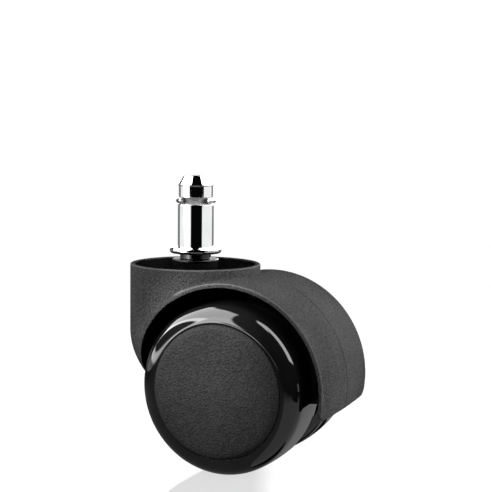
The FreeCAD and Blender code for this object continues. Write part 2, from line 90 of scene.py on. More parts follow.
def rounded(points, steps=7):
    """A polyline from (x, y, corner radius) points, with each corner turned as an arc and held by a near point on each side."""
    out = []
    n = len(points)
    for i, p in enumerate(points):
        x, y = p[0], p[1]
        r = p[2] if len(p) > 2 else 0.0
        here = np.array([x, y], float)
        if i == 0 or i == n - 1:
            out.append(here)
            continue
        a, b = np.array(points[i - 1][:2], float), np.array(points[i + 1][:2], float)
        u, v = a - here, b - here
        lu, lv = np.linalg.norm(u), np.linalg.norm(v)
        u, v = u / lu, v / lv
        ang = math.acos(max(-1, min(1, float(u @ v))))
        if r <= 0 or ang > math.pi - 0.02:
            r = 0.02 if r <= 0 else r
        t = min(r / math.tan(ang / 2), 0.45 * lu, 0.45 * lv) if ang < math.pi - 0.02 else 0
        if t <= 0:
            out.append(here)
            continue
        rr = t * math.tan(ang / 2)
        c = here + (u + v) / np.linalg.norm(u + v) * (rr / math.sin(ang / 2))
        s, e = here + u * t, here + v * t
        a0, a1 = math.atan2(*(s - c)[::-1]), math.atan2(*(e - c)[::-1])
        d = (a1 - a0 + math.pi) % (2 * math.pi) - math.pi
        k = max(2, int(round(steps * abs(d) / (math.pi / 2))))
        lead = min(0.06, 0.2 * max(lu - t, 0))
        if lead > 0.004:
            out.append(s + u * lead)
        for j in range(k + 1):
            w = a0 + d * j / k
            out.append(c + rr * np.array([math.cos(w), math.sin(w)]))
        trail = min(0.06, 0.2 * max(lv - t, 0))
        if trail > 0.004:
            out.append(e + v * trail)
    return out


def lathe(name, profile, segments=192, start=0.0, sweep=360.0, close=True):
    """Turns (radius, height) points about local Z. Points on the axis become one vertex."""
    full = sweep >= 359.99
    k = segments if full else segments + 1
    verts, rows = [], []
    for r, h in profile:
        if r < 1e-6:
            rows.append([len(verts)] * k)
            verts.append((0, 0, h))
        else:
            row = []
            for j in range(k):
                w = math.radians(start + sweep * j / segments)
                row.append(len(verts))
                verts.append((r * math.cos(w), r * math.sin(w), h))
            rows.append(row)
    faces = []
    n = len(rows)
    pairs = [(i, i + 1) for i in range(n - 1)] + ([(n - 1, 0)] if close else [])
    for i, j in pairs:
        a, b = rows[i], rows[j]
        if a[0] == a[-1] and b[0] == b[-1]:
            continue
        for s in range(segments):
            t = (s + 1) % k
            f = [a[s], a[t], b[t], b[s]]
            f = [v for m, v in enumerate(f) if v not in f[:m]]
            if len(f) > 2:
                faces.append(f)
    if not full:
        faces.append([r[0] for r in rows])
        faces.append([r[-1] for r in reversed(rows)])
    return verts, faces


def outward(verts, faces):
    """Turns the whole closed mesh right side out by its signed volume."""
    v = np.array(verts, float)
    vol = 0.0
    for f in faces:
        for m in range(1, len(f) - 1):
            vol += np.dot(v[f[0]], np.cross(v[f[m]], v[f[m + 1]]))
    return faces if vol > 0 else [list(reversed(f)) for f in faces]


def place(verts, side=0, turn=0.0):
    """Local mm to frame metres. side 0 keeps the stem's axis; +1 and -1 put local Z along the axle, outwards."""
    v = np.array(verts, float)
    if turn:
        c, s = math.cos(math.radians(turn)), math.sin(math.radians(turn))
        v = np.column_stack([v[:, 0] * c - v[:, 1] * s, v[:, 0] * s + v[:, 1] * c, v[:, 2]])
    if side:
        v = np.column_stack([v[:, 0] + AX, v[:, 2] * side, -v[:, 1] * side + AZ])
    return v * MM


def turned(name, points, side=0, segments=192, start=0.0, sweep=360.0, close=True, turn=0.0, steps=7):
    prof = rounded(points, steps)
    verts, faces = lathe(name, prof, segments, start, sweep, close)
    faces = outward(verts, faces)
    return mesh_object(name, place(verts, side, turn), faces)


# ------------------------------------------------------------------ materials
def nodes_of(mat):
    mat.use_nodes = True
    nt = mat.node_tree
    nt.nodes.clear()
    out = nt.nodes.new("ShaderNodeOutputMaterial")
    bsdf = nt.nodes.new("ShaderNodeBsdfPrincipled")
    nt.links.new(bsdf.outputs["BSDF"], out.inputs["Surface"])
    return nt, bsdf


def coords(nt, scale):
    tc = nt.nodes.new("ShaderNodeTexCoord")
    mp = nt.nodes.new("ShaderNodeMapping")
    mp.inputs["Scale"].default_value = (scale,) * 3 if not hasattr(scale, "__len__") else scale
    nt.links.new(tc.outputs["Object"], mp.inputs["Vector"])
    return mp.outputs["Vector"]


def noise(nt, scale, detail=2.0, rough=0.5, vector_scale=1000.0):
    """Noise whose scale is in cycles per millimetre."""
    t = nt.nodes.new("ShaderNodeTexNoise")
    t.inputs["Scale"].default_value = scale
    t.inputs["Detail"].default_value = detail
    t.inputs["Roughness"].default_value = rough
    nt.links.new(coords(nt, vector_scale), t.inputs["Vector"])
    return t.outputs["Fac"]


def cells(nt, scale, feature="F1", vector_scale=1000.0, randomness=1.0):
    t = nt.nodes.new("ShaderNodeTexVoronoi")
    t.feature = feature
    t.inputs["Scale"].default_value = scale
    t.inputs["Randomness"].default_value = randomness
    nt.links.new(coords(nt, vector_scale), t.inputs["Vector"])
    return t.outputs["Distance"]


def ramp(nt, fac, stops):
    r = nt.nodes.new("ShaderNodeValToRGB")
    els = r.color_ramp.elements
    while len(els) < len(stops):
        els.new(0.5)
    for e, (pos, col) in zip(els, stops):
        e.position = pos
        e.color = (col, col, col, 1) if not hasattr(col, "__len__") else (*col, 1)
    nt.links.new(fac, r.inputs["Fac"])
    return r.outputs["Color"]


def maths(nt, op, a, b=None, clamp=False):
    m = nt.nodes.new("ShaderNodeMath")
    m.operation = op
    m.use_clamp = clamp
    for i, x in enumerate((a, b)):
        if x is None:
            continue
        if isinstance(x, (int, float)):
            m.inputs[i].default_value = x
        else:
            nt.links.new(x, m.inputs[i])
    return m.outputs["Value"]


def between(nt, fac, low, high):
    m = nt.nodes.new("ShaderNodeMapRange")
    m.inputs["To Min"].default_value = low
    m.inputs["To Max"].default_value = high
    nt.links.new(fac, m.inputs["Value"])
    return m.outputs["Result"]


def bump(nt, height, strength, distance, normal=None):
    b = nt.nodes.new("ShaderNodeBump")
    b.inputs["Strength"].default_value = strength
    b.inputs["Distance"].default_value = distance
    nt.links.new(height, b.inputs["Height"])
    if normal is not None:
        nt.links.new(normal, b.inputs["Normal"])
    return b.outputs["Normal"]


def grained(name, dark, light, rough, grain, depth, speckle=(0.35, 0.65), spec=0.5, sheen=0.0, pits=0.0, broad=0.04):
    """Moulded plastic with a fine spark-eroded grain."""
    mat = bpy.data.materials.new(name)
    nt, bsdf = nodes_of(mat)
    fine = noise(nt, grain, 3.0, 0.62)
    coarse = noise(nt, broad, 3.0, 0.55)
    mixed = maths(nt, "ADD", maths(nt, "MULTIPLY", fine, 0.7), maths(nt, "MULTIPLY", coarse, 0.3))
    nt.links.new(ramp(nt, mixed, [(speckle[0], dark), (speckle[1], light)]), bsdf.inputs["Base Color"])
    nt.links.new(between(nt, noise(nt, grain * 0.6, 2.0), rough[0], rough[1]), bsdf.inputs["Roughness"])
    height = maths(nt, "SUBTRACT", fine, maths(nt, "MULTIPLY", cells(nt, grain * 0.8), pits)) if pits else fine
    nt.links.new(bump(nt, height, 1.0, depth), bsdf.inputs["Normal"])
    bsdf.inputs["Specular IOR Level"].default_value = spec
    if sheen:
        bsdf.inputs["Sheen Weight"].default_value = sheen
    return mat


def glossy(name, colour, rough=(0.03, 0.06), wave=0.00002):
    """Polished black polyurethane: nearly even, with faint moulding ripple and fine handling marks."""
    mat = bpy.data.materials.new(name)
    nt, bsdf = nodes_of(mat)
    tone = noise(nt, 0.08, 2.0)
    nt.links.new(ramp(nt, tone, [(0.3, colour[0]), (0.7, colour[1])]), bsdf.inputs["Base Color"])
    marks = noise(nt, 0.9, 4.0, 0.6)
    nt.links.new(between(nt, marks, rough[0], rough[1]), bsdf.inputs["Roughness"])
    nt.links.new(bump(nt, noise(nt, 0.12, 1.0), 0.25, wave), bsdf.inputs["Normal"])
    bsdf.inputs["Specular IOR Level"].default_value = 0.5
    bsdf.inputs["Coat Weight"].default_value = 0.0
    return mat


def metal(name, dark, light, rough=(0.04, 0.09), ring=0.0, ring_depth=0.0):
    """Plated or plain steel with faint turning rings round local Z or the axle."""
    mat = bpy.data.materials.new(name)
    nt, bsdf = nodes_of(mat)
    bsdf.inputs["Metallic"].default_value = 1.0
    tone = noise(nt, 0.25, 3.0)
    nt.links.new(ramp(nt, tone, [(0.3, dark), (0.7, light)]), bsdf.inputs["Base Color"])
    nt.links.new(between(nt, noise(nt, 1.6, 4.0, 0.6), rough[0], rough[1]), bsdf.inputs["Roughness"])
    if ring:
        t = nt.nodes.new("ShaderNodeTexNoise")
        t.inputs["Scale"].default_value = ring
        t.inputs["Detail"].default_value = 2.0
        nt.links.new(coords(nt, (40.0, 40.0, 1000.0)), t.inputs["Vector"])
        nt.links.new(bump(nt, t.outputs["Fac"], 0.3, ring_depth), bsdf.inputs["Normal"])
    return mat


M_HOUSING = grained("housing_grain", 0.010, 0.031, (0.52, 0.68), 1.9, 0.00060, pits=0.4, spec=0.0)
# near-black colour for the cup inside, the wheel wells and the parting crease: painted shade in these hollows
M_PAINTED_SHADE = grained("housing_inside_painted_shade", 0.0012, 0.003, (0.5, 0.65), 0.9, 0.00003, spec=0.0)
M_CAP = grained("cap_grain", 0.0048, 0.0125, (0.46, 0.62), 1.9, 0.00055, pits=0.4, spec=0.0)
# paler colour for the housing's rounded edges and cup rim: a painted highlight along them
M_EDGE_HIGHLIGHT = grained("housing_edge_painted_highlight", 0.028, 0.046, (0.5, 0.62), 2.3, 0.00012, pits=0.2, spec=0.0)
M_TYRE = glossy("tyre_polish", (0.0010, 0.0020))
M_CORE = grained("core_plain", 0.010, 0.016, (0.35, 0.5), 1.5, 0.00001)
M_CHROME = metal("chrome_plate", (0.72, 0.725, 0.73), (0.78, 0.785, 0.79), (0.02, 0.05), 2.0, 0.000002)
M_SPRING = metal("spring_steel", (0.58, 0.58, 0.59), (0.7, 0.7, 0.71), (0.10, 0.18), 2.0, 0.000001)
M_WASHER = metal("seat_steel", (0.03, 0.03, 0.03), (0.05, 0.05, 0.05), (0.3, 0.42), 2.5, 0.000005)
M_FOOT = metal("dark_steel", (0.05, 0.05, 0.05), (0.09, 0.09, 0.09), (0.18, 0.26), 2.0, 0.000003)
M_BRUSHED = grained("satin_steel", 0.13, 0.20, (0.5, 0.6), 2.0, 0.00001, spec=0.0)
M_ZINC = metal("zinc_steel", (0.5, 0.5, 0.5), (0.68, 0.68, 0.67), (0.22, 0.38), 2.5, 0.000008)
M_AXLE = metal("axle_steel", (0.45, 0.45, 0.46), (0.6, 0.6, 0.61), (0.15, 0.3), 2.5, 0.000006)
M_ACETAL = grained("acetal", 0.60, 0.70, (0.3, 0.42), 1.0, 0.000008)


def dress(o, mat):
    o.data.materials.clear()
    o.data.materials.append(mat)
    return o


def piece(o, mat, body, slot, *nodes):
    dress(o, mat)
    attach(o, body)
    if nodes:
        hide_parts(*nodes)
    return o


# ------------------------------------------------------------------ housing as a distance field, meshed by surface nets
def cut_round(a, b, k):
    """Common part of two solids, with the edge between them rounded to radius k."""
    u, v = np.maximum(a + k, 0), np.maximum(b + k, 0)
    return np.minimum(np.maximum(a, b), -k) + np.sqrt(u * u + v * v)


def join_round(a, b, k):
    """Two solids in one, with a fillet of radius k between them."""
    u, v = np.maximum(k - a, 0), np.maximum(k - b, 0)
    return np.maximum(np.minimum(a, b), k) - np.sqrt(u * u + v * v)


def housing_field(x, y, z):
    """Signed distance in mm, near enough, negative inside the moulding."""
    ay = np.abs(y)
    r = np.sqrt(x * x + y * y)
    dx, dz = x - AX, z - AZ
    rho = np.sqrt(dx * dx + dz * dz)
    nose = np.where(z > NOSE_Z, r - CUP_R, np.sqrt((r + NOSE_ARC - CUP_R) ** 2 + (z - NOSE_Z) ** 2) - NOSE_ARC)
    inner = nose + CUP_WALL
    # hood drum, crowned, with its side faces
    drum = rho - (HOOD_R - (HOOD_R - HOOD_EDGE_R) * (ay / HOOD_HALF) ** 2)
    t = math.radians(END_DEG)
    end = -(dx * math.sin(t) + dz * math.cos(t))
    side = np.where(x > AX, cut_round(ay - HOOD_HALF, end, CORNER), ay - HOOD_HALF)
    hood = cut_round(drum, side, 0.55)
    hood = np.maximum(hood, np.minimum(nose, -x))
    # open cup: wall, rim, boss and ribs
    cup = cut_round(nose, z - RIM, 0.42)
    body = join_round(cup, hood, 0.35)
    # hollow
    boss = cut_round(r - BOSS_R, z - BOSS_TOP, 0.3)
    rib = np.full_like(x, 1e3)
    for i in range(3):
        w = math.radians(60 * i)
        rib = np.minimum(rib, np.abs(-x * math.sin(w) + y * math.cos(w)) - RIB_T / 2)
    rib = cut_round(rib, z - RIB_TOP, 0.3)
    solid_in = join_round(join_round(boss, rib, 0.5), drum, 0.6)
    hollow = cut_round(inner, -solid_in, 0.4)
    hollow = np.maximum(hollow, -39.4 - z)
    body = cut_round(body, -hollow, 0.42)
    body = np.minimum(body, np.maximum(boss, -(z + 12.0)))
    # underside
    low = np.maximum(NOSE_FOOT - z, -1e3)
    x0, z0, x1, z1 = -11.2, NOSE_FOOT, AX - 9.5, WEB_LOW
    d = math.hypot(x1 - x0, z1 - z0)
    slope = -((z - z0) * (x1 - x0) - (x - x0) * (z1 - z0)) / d
    x2, z2 = AX + 9.5, WEB_LOW
    x3, z3 = AX + WELL_R * math.cos(t), AZ - WELL_R * math.sin(t)
    d2 = math.hypot(x3 - x2, z3 - z2)
    rise = -((z - z2) * (x3 - x2) - (x - x2) * (z3 - z2)) / d2
    under = np.maximum(np.maximum(slope, WEB_LOW - z), rise)
    under = np.where(x < x0, low, under)
    under = np.where(rho > WELL_R, np.where(x > AX, end, low), under)
    body = cut_round(body, under, 0.3)
    # wheel wells
    well = cut_round(rho - WELL_R, WEB_HALF - ay, 0.8)
    body = cut_round(body, -well, 0.22)
    # boss between the wheels, and the bores
    foot = cut_round(r - BOSS_R, BOSS_FOOT - z, 1.0)
    foot = np.maximum(foot, z + 9.0)
    body = join_round(body, foot, 0.5)
    body = np.maximum(body, -np.maximum(r - SOCKET_R, SOCKET_FOOT - z))
    body = cut_round(body, BUSH_R - rho, 0.1)
    return body


def surface_net(field, low, high, h):
    """Quads of the field's zero surface, with the vertices drawn onto it."""
    ax = [np.arange(a, b + h, h, dtype=np.float32) for a, b in zip(low, high)]
    gx, gy, gz = np.meshgrid(*ax, indexing="ij")
    f = field(gx, gy, gz).astype(np.float32)
    s = f < 0
    nx, ny, nz = f.shape
    corners = [(i, j, k) for i in (0, 1) for j in (0, 1) for k in (0, 1)]
    cell = [s[i:nx - 1 + i, j:ny - 1 + j, k:nz - 1 + k] for i, j, k in corners]
    count = np.zeros(cell[0].shape, np.int8)
    for c in cell:
        count += c
    live = (count > 0) & (count < 8)
    idx = np.full(live.shape, -1, np.int64)
    where = np.argwhere(live)
    idx[live] = np.arange(len(where))
    total = np.zeros((len(where), 3))
    number = np.zeros(len(where))
    for a in corners:
        for d in range(3):
            if a[d]:
                continue
            b = list(a)
            b[d] = 1
            fa = f[where[:, 0] + a[0], where[:, 1] + a[1], where[:, 2] + a[2]]
            fb = f[where[:, 0] + b[0], where[:, 1] + b[1], where[:, 2] + b[2]]
            cross = (fa < 0) != (fb < 0)
            t = np.where(cross, fa / np.where(fa == fb, 1, fa - fb), 0)
            p = np.array([a] * len(where), float)
            p[:, d] += t
            total[cross] += p[cross]
            number[cross] += 1
    verts = (where + total / number[:, None]) * h + np.array([a[0] for a in ax])
    quads = []
    for d in range(3):
        o1, o2 = (d + 1) % 3, (d + 2) % 3
        sl_a = [slice(1, n - 1) for n in f.shape]
        sl_b = list(sl_a)
        sl_a[d] = slice(0, f.shape[d] - 1)
        sl_b[d] = slice(1, f.shape[d])
        sa, sb = s[tuple(sl_a)], s[tuple(sl_b)]
        e = np.argwhere(sa != sb)
        flip = sa[e[:, 0], e[:, 1], e[:, 2]]
        base = e.copy()
        for ax_i in range(3):
            if ax_i != d:
                base[:, ax_i] += 1
        q = []
        for u, v in ((0, 0), (-1, 0), (-1, -1), (0, -1)):
            c = base.copy()
            c[:, o1] += u
            c[:, o2] += v
            q.append(idx[c[:, 0], c[:, 1], c[:, 2]])
        q = np.stack(q, 1)
        q[~flip] = q[~flip][:, ::-1]
        quads.append(q)
    quads = np.concatenate(quads)
    return verts, quads


def gradient(field, v, e=0.02):
    g = np.zeros_like(v)
    for d in range(3):
        a, b = v.copy(), v.copy()
        a[:, d] += e
        b[:, d] -= e
        g[:, d] = (field(a[:, 0], a[:, 1], a[:, 2]) - field(b[:, 0], b[:, 1], b[:, 2])) / (2 * e)
    return g


H = 0.34
verts, quads = surface_net(housing_field, (-20.9, -20.9, -49.0), (50.6, 20.9, -3.4), H)
for _ in range(4):
    g = gradient(housing_field, verts)
    f = housing_field(verts[:, 0], verts[:, 1], verts[:, 2])
    step = -f / np.maximum((g * g).sum(1), 0.25)
    step = np.clip(step, -0.35 * H, 0.35 * H)
    verts = verts + g * step[:, None]
g = gradient(housing_field, verts, 0.05)
normals = g / np.maximum(np.linalg.norm(g, axis=1), 1e-9)[:, None]
low_mm, high_mm = (np.array(v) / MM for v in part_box("housing"))
verts = np.clip(verts, low_mm, high_mm)
# parting line down the middle of the hood's rear: the mesh is cut at three planes and the middle one is drawn in
bm = bmesh.new()
lay = [bm.verts.new(v) for v in verts]
bm.verts.index_update()
for q in quads.tolist():
    try:
        bm.faces.new([lay[i] for i in q])
    except ValueError:
        pass
for y0 in (-0.13, 0.0, 0.13):
    bmesh.ops.bisect_plane(bm, geom=bm.verts[:] + bm.edges[:] + bm.faces[:], plane_co=(0, y0, 0), plane_no=(0, 1, 0), dist=1e-4)
bmesh.ops.remove_doubles(bm, verts=bm.verts[:], dist=0.012)
bm.verts.index_update()
pv = np.array([v.co[:] for v in bm.verts])
fc = [[v.index for v in f.verts] for f in bm.faces]
bm.free()
g = gradient(housing_field, pv, 0.05)
normals = g / np.maximum(np.linalg.norm(g, axis=1), 1e-9)[:, None]
dx, dz = pv[:, 0] - AX, pv[:, 2] - AZ
ang = np.degrees(np.arctan2(dz, dx))
rho = np.hypot(dx, dz)
line = (rho > HOOD_R - 0.25) & (ang < 65) & (ang > -END_DEG - 1)
mid_line = line & (np.abs(pv[:, 1]) < 0.02)
pv[mid_line] -= normals[mid_line] * 0.15
for sgn in (-1, 1):
    m = line & (np.abs(pv[:, 1] - sgn * 0.13) < 0.02)
    normals[m] = normals[m] * 0.75 + np.array([0, -sgn * 0.65, 0])
    normals[m] /= np.linalg.norm(normals[m], axis=1)[:, None]
housing = mesh_object("housing_shell", pv * MM, fc, normals=normals)
# the inside of the cup, off the mould's core, is smoother than the grained outside, and it and the wheel wells are
# painted near black: painted shade in these hollows
dress(housing, M_HOUSING)
housing.data.materials.append(M_PAINTED_SHADE)
fcen = np.array([c for p in housing.data.polygons for c in p.center]).reshape(-1, 3) / MM
fnor = np.array([c for p in housing.data.polygons for c in p.normal]).reshape(-1, 3)
rr = np.hypot(fcen[:, 0], fcen[:, 1])
inward = (fnor[:, 0] * fcen[:, 0] + fnor[:, 1] * fcen[:, 1]) < 0
in_cup = (rr < CUP_R - CUP_WALL + 0.25) & (fcen[:, 2] > -39.5) & ((fcen[:, 2] < -5.2) | (rr < 8)) & (housing_field(fcen[:, 0] * 1.0, fcen[:, 1], fcen[:, 2]) < 0.3) \
    & ((fcen[:, 2] > -12) | (rr < 18)) & ((np.hypot(fcen[:, 0] - AX, fcen[:, 2] - AZ) > HOOD_R - 1.2))
in_well = (np.hypot(fcen[:, 0] - AX, fcen[:, 2] - AZ) < WELL_R + 0.12)
nose_in = np.where(fcen[:, 2] > NOSE_Z, rr - CUP_R, np.hypot(rr + NOSE_ARC - CUP_R, fcen[:, 2] - NOSE_Z) - NOSE_ARC)
in_well &= ~((nose_in > -0.25) & ~inward)
# the moulded edges get a paler colour, a painted highlight along them, and the parting line gets the near-black colour,
# a painted shade in its crease
housing.data.materials.append(M_EDGE_HIGHLIGHT)
frho = np.hypot(fcen[:, 0] - AX, fcen[:, 2] - AZ)
radial = np.abs((fnor[:, 0] * (fcen[:, 0] - AX) + fnor[:, 2] * (fcen[:, 2] - AZ)) / np.maximum(frho, 1e-6))
on_edge = ((frho > HOOD_EDGE_R - 0.7) & (fcen[:, 0] > -1) & (np.abs(fcen[:, 1]) > HOOD_HALF - 0.6) & (radial > 0.25) & (radial < 0.93)) \
    | ((rr > CUP_R - 0.45) & (fcen[:, 2] > RIM - 0.45) & (fnor[:, 2] > 0.3) & (fnor[:, 2] < 0.93))
# the faces of the parting crease take the near-black colour: painted shade in the crease
crease = (frho > HOOD_R - 0.35) & (np.abs(fcen[:, 1]) < 0.13) & (fcen[:, 0] > AX) & (np.degrees(np.arctan2(fcen[:, 2] - AZ, fcen[:, 0] - AX)) < 65)
housing.data.polygons.foreach_set("material_index", np.where(in_cup | in_well | crease, 1, np.where(on_edge, 2, 0)).astype(np.int32))
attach(housing, "housing")
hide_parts("housing")

# ------------------------------------------------------------------ stem and rings
stem = turned("stem_pin", [
    (0, -13.8), (3.4, -13.8, 0.2), (4.0, -13.2, 0.2), (4.0, -12.3, 0.05), (3.2, -12.3, 0.05), (3.2, -11.5, 0.05),
    (4.0, -11.5, 0.05), (4.0, -3.55, 0.05), (4.75, -3.55, 0.15), (4.75, -1.85, 0.25), (7.9, -1.85, 0.72), (7.9, 0.0, 0.72),
    (5.5, 0.0, 0.18), (5.5, 13.15, 0.16), (5.12, 13.15, 0.03), (4.62, 13.38, 0.1), (4.30, 13.85, 0.3), (4.21, 14.25, 0.5),
    (4.30, 14.65, 0.3), (4.62, 15.12, 0.1), (5.12, 15.35, 0.03), (5.25, 15.35, 0.08),
    (5.25, 18.75, 0.1), (5.42, 18.95, 0.08), (5.42, 19.2, 0.12), (3.85, 21.8, 0.0), (3.6, 22.0, 0.25), (0, 22.0),
], segments=256, close=False)
piece(stem, M_CHROME, "stem", "chrome", "stem")
# the groove under the grip ring is turned after plating, and is left a dull satin grey
stem.data.materials.append(M_BRUSHED)
scen = np.array([c for p in stem.data.polygons for c in p.center]).reshape(-1, 3) / MM
in_groove = (scen[:, 2] > 13.16) & (scen[:, 2] < 15.34) & (np.hypot(scen[:, 0], scen[:, 1]) > 4.0)
# the stem below the collar is drawn in a darker steel than the chrome above
stem.data.materials.append(M_FOOT)
below_collar = scen[:, 2] < -1.9
stem.data.polygons.foreach_set("material_index", (in_groove + 2 * below_collar).astype(np.int32))

wire = [(5.23 + 0.87 * math.cos(2 * math.pi * i / 28), 14.25 + 0.87 * math.sin(2 * math.pi * i / 28)) for i in range(28)]
v, f = lathe("wire", wire, 150, -24.3, 269.5)
# the two sawn ends are bevelled
cap_rows = 28
ring = mesh_object("grip_ring_wire", place(v), outward(v, f))
bev = ring.modifiers.new("sawn_edge", "BEVEL")
bev.width = 0.12 * MM
bev.segments = 2
bev.limit_method = "ANGLE"
bev.angle_limit = math.radians(60)
piece(ring, M_SPRING, "stem", "spring_steel", "grip_ring")

# ------------------------------------------------------------------ wheels
for word, side in (("left", -1), ("right", 1)):
    body = "wheel_" + word
    arc = []
    rho, w1 = 5.0, 19.5
    end_a = math.acos((19.7 - 20.0) / rho)
    for i in range(33):
        a = math.radians(6.5) + (end_a - math.radians(6.5)) * i / 32
        arc.append((20.0 + rho * math.cos(a), w1 + rho * math.sin(a)))
    crown = []
    for i in range(13):
        w = 8.4 + (20.07 - 8.4) * i / 12
        crown.append((25.15 - 0.18 * (w - 8.4) / 11.67 + 0.18 * (1 - ((w - 14.235) / 5.835) ** 2), w))
    heel = [(21.95 + 3.2 * math.cos(a), 8.4 + 3.2 * math.sin(a)) for a in (math.radians(-90 + 90 * i / 16) for i in range(17))]
    lip = rounded([tuple(arc[-2]), (19.74, 24.493, 0.02), (19.70, 24.45, 0.02), (19.7, 22.5, 0.1), (21.6, 22.5)])
    prof = [np.array((21.6, 5.2))] + [np.array(p) for p in heel[:-1] + crown[:-1] + arc[:-1]] + lip[1:]
    v, f = lathe("tyre", prof, 256)
    tyre = mesh_object("tyre_ring_" + word, place(v, side), outward(v, f))
    piece(tyre, M_TYRE, body, "tyre_gloss", "tyre_" + word)

    cap = turned("cap_disc_" + word, [
        (0, 24.4), (17.9, 24.4, 0.2), (17.9, 20.4, 0.1), (19.3, 20.4, 0.1), (19.3, 22.8, 0.1), (19.55, 22.8, 0.05),
        (19.55, 24.9, 1.2), (18.6, 25.75, 0.9), (17.4, 26.0, 1.5), (0, 26.0),
    ], side=side, segments=256, close=False)
    piece(cap, M_CAP, body, "cap_plastic", "wheel_cap_" + word)

# ------------------------------------------------------------------ CAD pieces that show as they are
for n, mat in {"stem_keeper_ring": M_SPRING, "seat_washer": M_WASHER, "stem_socket": M_ZINC, "thrust_pad": M_ACETAL, "axle": M_AXLE}.items():
    dress(NODES[n], mat)
for word in ("left", "right"):
    for n, mat in {"axle_bush_": M_ACETAL, "wheel_spacer_": M_ZINC, "axle_clip_": M_SPRING, "wheel_core_": M_CORE, "hub_bush_": M_ACETAL}.items():
        dress(NODES[n + word], mat)

# ------------------------------------------------------------------ studio: pale floor, soft boxes, camera
scene = bpy.context.scene
scene.view_settings.view_transform = "Standard"
scene.view_settings.look = "None"

# the floor is a wide white disc that fades out into the white surroundings, and is clear from below
floor_z = cad_low[2]
ring_n = 96
rad = 0.55
floor = mesh_object("floor", [(rad * math.cos(2 * math.pi * i / ring_n), rad * math.sin(2 * math.pi * i / ring_n), floor_z) for i in range(ring_n)],
                    [list(range(ring_n))], smooth=False)
fm = bpy.data.materials.new("floor_white")
nt, bsdf = nodes_of(fm)
bsdf.inputs["Base Color"].default_value = (0.02, 0.02, 0.02, 1)
bsdf.inputs["Roughness"].default_value = 0.04
bsdf.inputs["Emission Color"].default_value = (1, 1, 1, 1)
tc = nt.nodes.new("ShaderNodeTexCoord")
ln = nt.nodes.new("ShaderNodeVectorMath")
ln.operation = "LENGTH"
nt.links.new(tc.outputs["Object"], ln.inputs[0])
fade = nt.nodes.new("ShaderNodeMapRange")
fade.interpolation_type = "SMOOTHSTEP"
fade.inputs["From Min"].default_value = 0.16
fade.inputs["From Max"].default_value = 0.46
nt.links.new(ln.outputs["Value"], fade.inputs["Value"])
geo = nt.nodes.new("ShaderNodeNewGeometry")
clear = maths(nt, "MAXIMUM", fade.outputs["Result"], geo.outputs["Backfacing"])
see = nt.nodes.new("ShaderNodeBsdfTransparent")
mix = nt.nodes.new("ShaderNodeMixShader")
nt.links.new(clear, mix.inputs["Fac"])
nt.links.new(bsdf.outputs["BSDF"], mix.inputs[1])
nt.links.new(see.outputs["BSDF"], mix.inputs[2])
nt.links.new(mix.outputs["Shader"], nt.nodes["Material Output"].inputs["Surface"])
side_of = nt.nodes.new("ShaderNodeVectorMath")
side_of.operation = "DOT_PRODUCT"
side_of.inputs[1].default_value = (0.92, 0.39, 0.0)
nt.links.new(tc.outputs["Object"], side_of.inputs[0])
mirror = nt.nodes.new("ShaderNodeMapRange")
mirror.interpolation_type = "SMOOTHSTEP"
mirror.inputs["From Min"].default_value = 0.017
mirror.inputs["From Max"].default_value = 0.026
mirror.inputs["To Min"].default_value = 0.5
mirror.inputs["To Max"].default_value = 0.0
nt.links.new(side_of.outputs["Value"], mirror.inputs["Value"])
away = nt.nodes.new("ShaderNodeVectorMath")
away.operation = "DISTANCE"
away.inputs[1].default_value = (0.012, -0.040, floor_z)
nt.links.new(tc.outputs["Object"], away.inputs[0])
near = nt.nodes.new("ShaderNodeMapRange")
near.interpolation_type = "SMOOTHSTEP"
near.inputs["From Min"].default_value = 0.032
near.inputs["From Max"].default_value = 0.070
near.inputs["To Min"].default_value = 1.0
near.inputs["To Max"].default_value = 0.0
nt.links.new(away.outputs["Value"], near.inputs["Value"])
# in a soft patch beside and round the wheels the floor's gloss is turned up and its glow turned down: a painted darker
# patch, a painted shade round the caster, lifted again only where the floor's reflection is bright
sheen = maths(nt, "MULTIPLY", mirror.outputs["Result"], near.outputs["Result"])
nt.links.new(sheen, bsdf.inputs["Specular IOR Level"])
nt.links.new(maths(nt, "SUBTRACT", 1.0, maths(nt, "MULTIPLY", sheen, 0.64)), bsdf.inputs["Emission Strength"])
dress(floor, fm)
floor.visible_glossy = False
floor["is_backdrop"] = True


# two dark cards, only met by mirror-like rays: one on the floor behind the wheels, a painted shadow of the caster on
# the floor there, which keeps the far tread dark, and one standing off to the right, which keeps the low strip of light
# off the near tyre's shoulder
def card(name, points):
    o = mesh_object(name, [(x * MM, y * MM, z * MM) for x, y, z in points], [list(range(len(points)))], smooth=False)
    m = bpy.data.materials.new(name)
    ct, cb = nodes_of(m)
    cb.inputs["Base Color"].default_value = (0, 0, 0, 1)
    cb.inputs["Specular IOR Level"].default_value = 0.0
    cb.inputs["Roughness"].default_value = 1.0
    dress(o, m)
    o.visible_camera = o.visible_diffuse = o.visible_shadow = o.visible_transmission = False
    o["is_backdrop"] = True


low_mm_z = floor_z / MM - 0.02
card("card_behind", [(x, y, low_mm_z) for x, y in ((20, -1), (30, 10), (35, 19), (41, 29), (45, 36), (38, 39), (-60, 39), (-60, -1))])
card("card_right", [(120, -80, -62), (120, -16, -62), (120, -16, -31), (120, -80, -31)])

# surroundings: two large soft boxes, a pale strip low down on each side, and white behind for the camera
world = bpy.data.worlds.new("studio")
scene.world = world
world.use_nodes = True
wt = world.node_tree
wt.nodes.clear()
tcw = wt.nodes.new("ShaderNodeTexCoord")
sep = wt.nodes.new("ShaderNodeSeparateXYZ")
wt.links.new(tcw.outputs["Generated"], sep.inputs[0])
AZ_W = maths(wt, "MULTIPLY", maths(wt, "ARCTAN2", sep.outputs["X"], sep.outputs["Y"]), 180 / math.pi)
EL_W = maths(wt, "MULTIPLY", maths(wt, "ARCSINE", sep.outputs["Z"]), 180 / math.pi)


